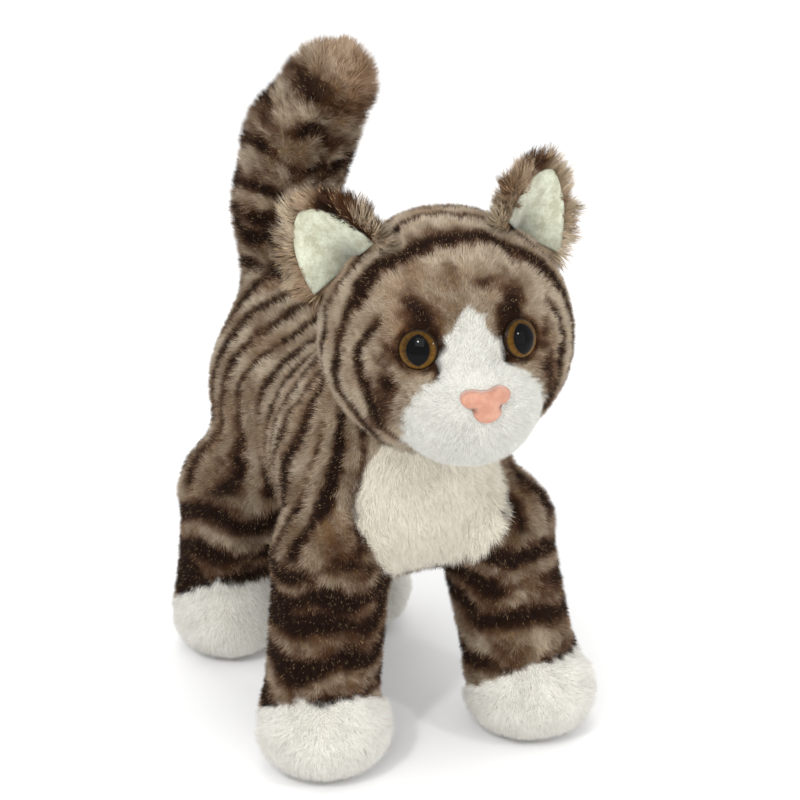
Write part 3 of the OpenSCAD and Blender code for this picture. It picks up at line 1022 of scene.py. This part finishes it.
def ear_colour(side):
    origin, axes = ear_place(side)

    def colour(p):
        e = (p - origin) @ axes
        dark = 0.85 * bump(e[:, 0], -9, 5.0) * step(e[:, 2], 2, 8) * step(e[:, 2], 28, 20)
        dark += 0.7 * bump(e[:, 2], 5 + 0.1 * e[:, 0], 3) * step(e[:, 1], 0, 2)
        dark += 0.35 * waves(p, 14, 111)
        return tabby(p, dark, 0.2), np.zeros(len(p))
    return colour


EAR_FELT = felt_material("ear_felt_pressed", srgb(200, 204, 184), srgb(168, 167, 144), 0.56,
                         fibre_scale=1500.0)


def facing(side, faces):
    """The right ear is a mirror image, so its faces turn the other way."""
    return [f[:, ::-1] for f in faces] if side < 0 else faces


def make_ear_back(side, name):
    """The plush back of an ear, and its pile."""
    origin, axes = ear_place(side)
    grid = ear_back_points()
    rows, cols = grid.shape[:2]
    pts = to_row(side, grid)
    base, top = grid[0].mean(0), grid[-1].mean(0) + [0, 0, 0.4]
    pts = np.concatenate([pts, to_row(side, np.stack([base, top]))])
    back = new_object(name + "_ear_back_skin", pts, facing(side, capped_grid(rows, cols)))
    stuff(back, lambda p: np.full(len(p), FAR), most=0.7, voxel=1.6, pressure=2.0)
    back.data.materials.append(BACKING)
    colour_of = ear_colour(side)
    paint_skin(back, colour_of)
    finish_piece(back, name + "_ear", [name + "_ear_back"])

    def comb(p, nrm):
        e = (p - origin) @ axes
        away = np.stack([e[:, 0] * 1.1, 6 + 0 * e[:, 0], e[:, 2] - 2], 1)
        return unit(away) @ axes.T

    def length(p, nrm):
        e = (p - origin) @ axes
        rim = step(np.abs(e[:, 0]) / np.maximum(ear_half(e[:, 2]), 1), 0.7, 1.0)
        return 4.4 + 2.6 * np.maximum(rim, step(e[:, 2], 19, 26))

    def keep(p, w):
        e = (p - origin) @ axes
        lined = ((e[:, 1] < ear_front(e[:, 0], e[:, 2]) + 1.3)
                 & (np.abs(e[:, 0]) < felt_half(e[:, 2]) - 0.8) & (e[:, 2] < 23))
        return ~lined & (head_form(p) > -3)

    grow(name + "_ear_pile", back, colour_of, comb, length, keep, TABBY_PILE, name + "_ear",
         "tabby_plush", centre=origin, axes=axes, density=DENSITY * 1.3, jitter=0.1, bent=True,
         stand=0.7)


def line_ear(side, name):
    """Felt lining: one cut sheet, sewn in a little behind the ear's edge."""
    z = np.linspace(FELT_ROOT, FELT_TIP - 0.05, 24)
    u = np.linspace(-1, 1, 25)
    z, u = np.meshgrid(z, u, indexing="ij")
    x = u * np.maximum(felt_half(z), 0.2)
    y = ear_front(x, z)
    lift = 0.175 * waves(np.stack([x, y, z], -1).reshape(-1, 3), 13, 115).reshape(x.shape)
    rear = np.stack([x, y - 0.1 + lift, z], -1)
    front = rear - [0, FELT_THICK, 0]
    rows, cols = x.shape
    n = rows * cols
    q = grid_faces(rows, cols, False)
    rim = np.concatenate([np.arange(cols), cols * np.arange(1, rows) + cols - 1,
                          (rows - 1) * cols + np.arange(cols - 2, -1, -1),
                          cols * np.arange(rows - 2, 0, -1)])
    rim_next = np.roll(rim, -1)
    edge = np.stack([rim, rim_next, rim_next + n, rim + n], 1)
    faces = facing(side, [q, (q + n)[:, ::-1], edge[:, ::-1]])
    felt = new_object(name + "_ear_felt", to_row(side, np.concatenate([front, rear])), faces)
    # painted shade: darker down the middle of the fold and towards the root, where the lining
    # cups in
    shade = 1 - 0.3 * bump(x, 0, 5) * (1 - step(z, 2, 17)) - 0.35 * (1 - step(z, FELT_ROOT, 13))
    store(felt.data, "felt_shade", np.tile(shade.ravel(), 2))
    felt.data.materials.append(EAR_FELT)
    finish_piece(felt, name + "_ear", [name + "_ear_lining"])


for side, name in SIDES:
    make_ear_back(side, name)
    line_ear(side, name)

# ---------- eyes and nose ----------

EYE_PLASTIC = painted_material("eye_plastic", "eye_colour", 1500, 0.8, 1.2, Roughness=0.05,
                               IOR=1.49, Specular_IOR_Level=0.1)


def turned(name, place, profile, cols):
    """Closed turned form from a profile of (radius, height) that starts and ends on its axis."""
    prof = np.array(profile)
    r, z = prof[1:-1].T
    phi = np.linspace(0, 2 * math.pi, cols, endpoint=False)
    rr, ph = np.meshgrid(r, phi, indexing="ij")
    zz = np.broadcast_to(z[:, None], rr.shape)
    pts = np.stack([rr * np.cos(ph), rr * np.sin(ph), zz], -1).reshape(-1, 3)
    pts = np.concatenate([pts, [[0, 0, prof[0, 1]], [0, 0, prof[-1, 1]]]])
    return new_object(name, place(pts), capped_grid(len(r), cols)), pts


EYE_SINK, EYE_OUT = -1.5, 35.0
CROWN_BALL, CROWN_FLATTEN, CROWN_REST = 6.8, 0.7, 3.2
PUPIL_DISC, PUPIL_APART, PUPIL_SHIFT = 4.85, 1.4, 0.35
IRIS_DARK, IRIS_LIGHT = srgb(50, 33, 9), srgb(106, 74, 22)
IRIS_EDGE, PUPIL_EDGE, PUPIL = srgb(30, 20, 10), srgb(58, 36, 14), srgb(5, 5, 6)


def make_eye(side, name):
    """Moulded eye: iris and pupil, which sit under a clear dome, are painted on one glossy crown
    that stands for it all.
    """
    axes = HEAD_AXES @ turn("z", 26.5 * side) @ turn("x", 75)
    seat = HEAD + axes @ [0, 0, EYE_OUT]
    crown = [(r, 0.3 + CROWN_FLATTEN * (math.sqrt(CROWN_BALL ** 2 - r ** 2) - CROWN_REST))
             for r in np.linspace(EYE_RADIUS - 0.1, 0.1, 60)]
    ob, pts = turned(name + "_eye", lambda q: seat + q @ axes.T,
                     [(0, EYE_SINK), (EYE_RADIUS - 0.1, EYE_SINK), (EYE_RADIUS, 0.2)] + crown
                     + [(0, crown[-1][1])], 120)
    px, py = pts[:, 0] + PUPIL_SHIFT * side, pts[:, 1]
    # the slit pupil is where two discs overlap; it sits a little towards the nose
    pupil = np.hypot(np.abs(px) + PUPIL_APART, py) - PUPIL_DISC
    angle = np.arctan2(py, px)
    ray = 0.5 + 0.5 * np.sin(angle * 23 + 2 * np.sin(angle * 7))
    rad = np.hypot(pts[:, 0], py)
    iris = mix(IRIS_DARK + 0 * pts, IRIS_LIGHT, 0.3 * ray + 0.5 * step(rad, 3.6, 5.0))
    # painted shade: the iris is darker towards its top, shaded by the fur above
    iris = iris * (1 - 0.4 * step(py, -2, 5))[:, None]
    # the dark edge of the iris: partly its own colour, partly painted shade from the fur round
    # the eye
    iris = mix(iris, IRIS_EDGE, step(rad, 5.1, 5.7))
    iris = mix(iris, PUPIL_EDGE, 0.6 * step(0.5 - pupil, 0, 0.5))
    store(ob.data, "eye_colour", mix(iris, PUPIL, step(0.1 - pupil, 0, 0.15)))
    ob.data.materials.append(EYE_PLASTIC)
    finish_piece(ob, "head",
                 [name + "_eye_dome", name + "_eye_pupil", name + "_eye_back"])


for side, name in SIDES:
    make_eye(side, name)

NOSE_POINTS = 120       # round its outline
NOSE_START = 60         # in front of the head's centre, where the search for its skin begins


def nose_outline(x, z):
    """Three soft lobes: two wide ones above and a narrower one below."""
    upper = np.hypot((np.abs(x) - 3.9) / 3.7, (z - 1.9) / 2.4) - 1
    bridge = np.maximum(np.abs(x) / 4.5, np.abs(z - 1.3) / 2.5) - 1
    lower = np.hypot(x / 4.2, (z + 1.9) / 3.2) - 1
    return blend_forms(0.2, upper, bridge, lower)


def make_nose():
    phi = np.linspace(0, 2 * math.pi, NOSE_POINTS, endpoint=False)
    edge = reach(NOSE_POINTS, 12.0, lambda t: nose_outline(t * np.cos(phi), t * np.sin(phi)) < 0)
    f = np.concatenate([[0.97, 1.0], np.cos(np.linspace(0.12, 1.5, 16))])
    fr, edge = np.meshgrid(f, edge, indexing="ij")
    x = fr * edge * np.cos(phi)
    z = fr * edge * np.sin(phi)
    flat = from_head(np.stack([x + NOSE[0], 0 * x - NOSE_START, z + NOSE[2]], -1).reshape(-1, 3))
    into = HEAD_AXES[:, 1]
    near = reach(len(flat), 50.0, lambda t: head_form(flat + into * t[:, None]) > 0)
    lift = 1.5 + 0.9 * np.sqrt(np.maximum(1 - fr ** 4, 0))
    nostril = np.exp(-((np.abs(x) - 4.1) / 0.8) ** 2 - ((z + 0.9) / 0.9) ** 2)
    lift -= 1.0 * nostril + 0.3 * np.exp(-(x / 0.8) ** 2) * step(z, 0.5, 3)
    lift[0] = -1.0      # the first ring is the rim's underside, inside the muzzle
    y = near.reshape(x.shape) - NOSE_START - lift
    pts = from_head(np.stack([x + NOSE[0], y, z + NOSE[2]], -1).reshape(-1, 3))
    under = from_head([NOSE[0], y[0].mean(), NOSE[2]])
    centre = from_head([NOSE[0], y[-1].mean(), NOSE[2]])
    ob = new_object("nose_felt", np.concatenate([pts, [under, centre]]), capped_grid(*x.shape))
    # painted shade in the nostril dents and round the rim, and on the point underneath
    shade = (1 - 0.55 * nostril) * (1 - 0.12 * step(fr, 0.9, 1.0))
    store(ob.data, "felt_shade", np.concatenate([shade.ravel(), [0.6, 1]]))
    ob.data.materials.append(felt_material("nose_felt_pressed", srgb(195, 147, 126),
                                           srgb(177, 125, 104), 0.58))
    finish_piece(ob, "head", ["nose"])


make_nose()

# ---------- hidden CAD parts: the neck's fill and the eyes' lock washers ----------

FILL = hidden_material("fibre_fill", srgb(214, 214, 212), srgb(248, 248, 246), 900, 0.95)
WASHER = hidden_material("washer_plastic", srgb(206, 204, 196), srgb(226, 224, 216), 500, 0.4)
for name, inside in (("neck_stuffing", FILL), ("right_eye_washer", WASHER),
                     ("left_eye_washer", WASHER)):
    for place in bpy.data.objects[name].material_slots:
        place.material = inside

# ---------- studio ----------

FLOOR_HALF = 4000

corners = FLOOR_HALF * np.array([[-1, -1, 0], [1, -1, 0], [1, 1, 0], [-1, 1, 0]])
floor = new_object("floor", corners, [np.array([[0, 1, 2, 3]])], smooth=False)
m, nt, sh = material("pale_floor", Roughness=0.9, Specular_IOR_Level=0.1)
cloud = add(nt, "ShaderNodeTexNoise")
cloud.inputs["Scale"].default_value = 3
tone = mixed(nt, [0.93] * 3, [0.95] * 3, cloud.outputs["Fac"])
nt.links.new(tone, sh.inputs["Base Color"])
floor.data.materials.append(m)

world = bpy.data.worlds.new("studio")
world.use_nodes = True
background = world.node_tree.nodes["Background"]
background.inputs["Color"].default_value = (1, 1, 1, 1)
background.inputs["Strength"].default_value = 1.0
bpy.context.scene.world = world

# the view of the photo, in metres and radians
AIM = Vector((0, 0.0099, 0.105))
VIEW_AZ, VIEW_EL, VIEW_DIST = math.radians(-25), math.radians(22), 0.8
AIM_RIGHT, AIM_UP = 0.0128, -0.0045
LENS = 112.3


def direction(az, el):
    return Vector((math.sin(az) * math.cos(el), -math.cos(az) * math.cos(el), math.sin(el)))


def softbox(name, az, el, dist, size, power):
    light = bpy.data.lights.new(name, "AREA")
    light.size = size
    light.energy = power
    ob = bpy.data.objects.new(name, light)
    out = direction(math.radians(az), math.radians(el))
    ob.location = AIM + out * dist
    ob.rotation_euler = out.to_track_quat("Z", "Y").to_euler()
    bpy.context.scene.collection.objects.link(ob)


# degrees round from the front and up, metres away, metres across, watts; the two small ones make
# the highlights in the eyes
for lamp in (("key", -42, 38, 1.1, 0.6, 2.8), ("fill", 25, 12, 1.3, 0.9, 1.8),
             ("top", 150, 70, 1.2, 0.8, 2.5), ("glint", -49, 38, 0.9, 0.07, 2.0),
             ("fill_glint", 22, 30, 0.9, 0.05, 1.1)):
    softbox(*lamp)

cam = bpy.data.cameras.new("camera")
cam.lens = LENS
cam.sensor_width = 36
camera = bpy.data.objects.new("camera", cam)
back = direction(VIEW_AZ, VIEW_EL)
right = Vector((math.cos(VIEW_AZ), math.sin(VIEW_AZ), 0))
aim = AIM + right * AIM_RIGHT + back.cross(right) * AIM_UP
camera.location = AIM + back * VIEW_DIST
camera.rotation_euler = (camera.location - aim).to_track_quat("Z", "Y").to_euler()
bpy.context.scene.collection.objects.link(camera)
bpy.context.scene.camera = camera
bpy.context.scene.view_settings.view_transform = "Standard"
